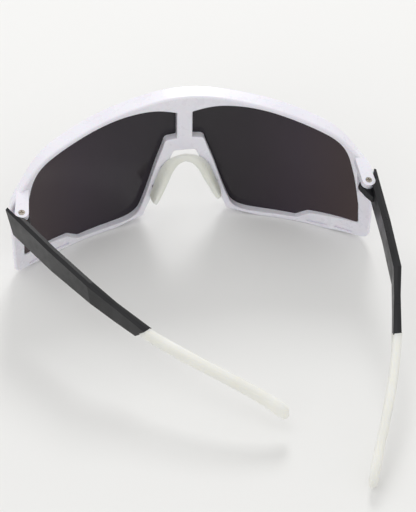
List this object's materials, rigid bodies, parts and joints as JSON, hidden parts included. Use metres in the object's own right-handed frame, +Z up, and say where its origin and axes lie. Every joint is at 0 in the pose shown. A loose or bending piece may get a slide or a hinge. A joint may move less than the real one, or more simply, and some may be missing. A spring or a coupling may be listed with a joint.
{
  "type": "wraparound sport sunglasses",
  "caption": "Shield-lens sport sunglasses with a wraparound rim, soft nose pad and folding arms with rubber ear socks, one arm stored partly folded.",
  "frame": {"origin": "centre of the footprint, on the surface that the glasses stand on", "axes": "+Z up; the front faces -Y and the arms run back along +Y; X runs across the face, with the left arm, which is stored partly folded, at +X"},
  "size_m": [0.1422, 0.1579, 0.0604],
  "materials": {
    "rim": "white with a faint lavender cast, satin gloss",
    "lens": "dark smoke polycarbonate shield, polished, brown to violet sheen",
    "silicone": "milky translucent silicone",
    "screw": "machined",
    "insert": "machined",
    "arm": "black satin nylon",
    "sock": "milky matt rubber"
  },
  "bodies": {
    "front": {"front_frame": "rim", "shield_lens": "lens", "nose_pad": "silicone", "hinge_screw_left": "screw", "hinge_screw_right": "screw", "hinge_insert_left": "insert", "hinge_insert_right": "insert"},
    "left_temple": {"temple_left": "arm", "ear_sock_left": "sock"},
    "right_temple": {"temple_right": "arm", "ear_sock_right": "sock"}
  },
  "joints": [
    {"name": "left_temple_hinge", "type": "hinge", "parent": "front", "child": "left_temple", "pos_m": [0.066, -0.039, 0.0387], "axis": [0, 0.1582, 0.9874], "range_deg": [-32.8, 51.2]},
    {"name": "right_temple_hinge", "type": "hinge", "parent": "front", "child": "right_temple", "pos_m": [-0.066, -0.039, 0.0387], "axis": [0.1098, -0.2436, -0.9636], "range_deg": [0, 84]}
  ]
}
